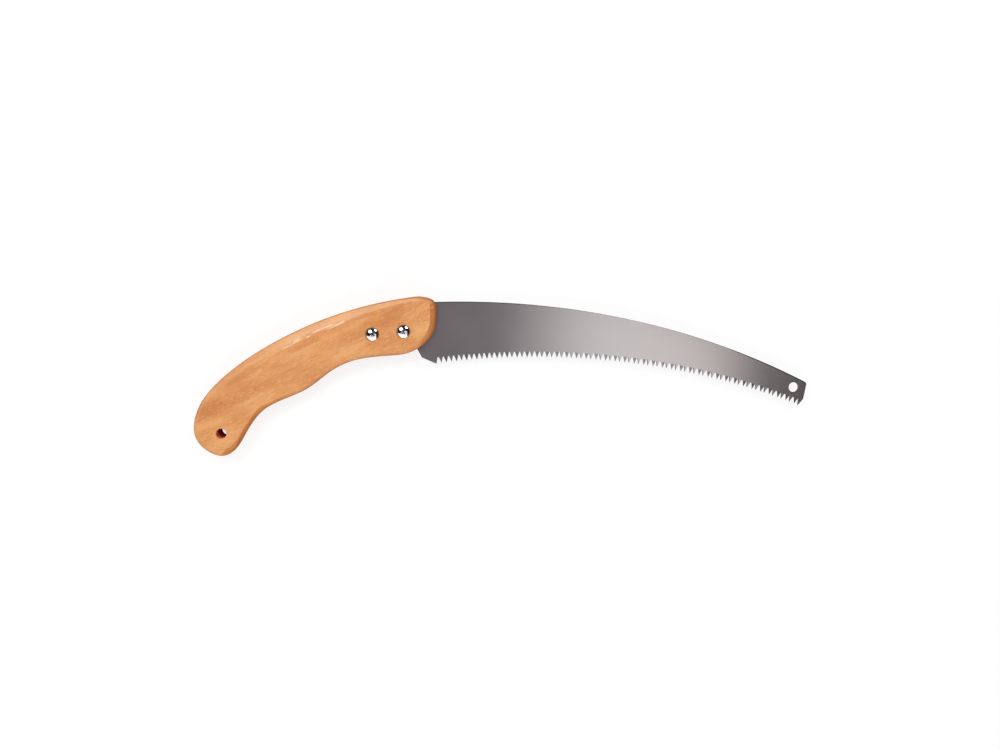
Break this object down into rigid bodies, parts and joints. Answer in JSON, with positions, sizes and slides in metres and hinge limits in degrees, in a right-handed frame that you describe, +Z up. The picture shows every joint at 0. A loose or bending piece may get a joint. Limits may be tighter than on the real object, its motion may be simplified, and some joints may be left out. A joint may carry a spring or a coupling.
{
  "type": "pruning saw",
  "caption": "Curved pruning handsaw: a tapering steel blade with a hollow toothed edge, held by screws in the sawn slot of a bent wooden pistol-grip handle.",
  "frame": {"origin": "on the axis of the hang hole, in the lower face of the handle, with the saw lying on its side", "axes": "+X along the back of the blade towards its tip, +Y from the teeth to the back of the blade, +Z up through the thickness, to the side with the screw heads"},
  "size_m": [0.5185, 0.1274, 0.02],
  "materials": {
    "wood": "clear gloss lacquer",
    "blade_steel": "ground and polished",
    "screw_chrome": "bright plate"
  },
  "bodies": {
    "root": {"handle": "wood", "blade": "blade_steel", "front_screw": "screw_chrome", "rear_screw": "screw_chrome", "front_nut": "screw_chrome", "rear_nut": "screw_chrome"}
  },
  "joints": []
}
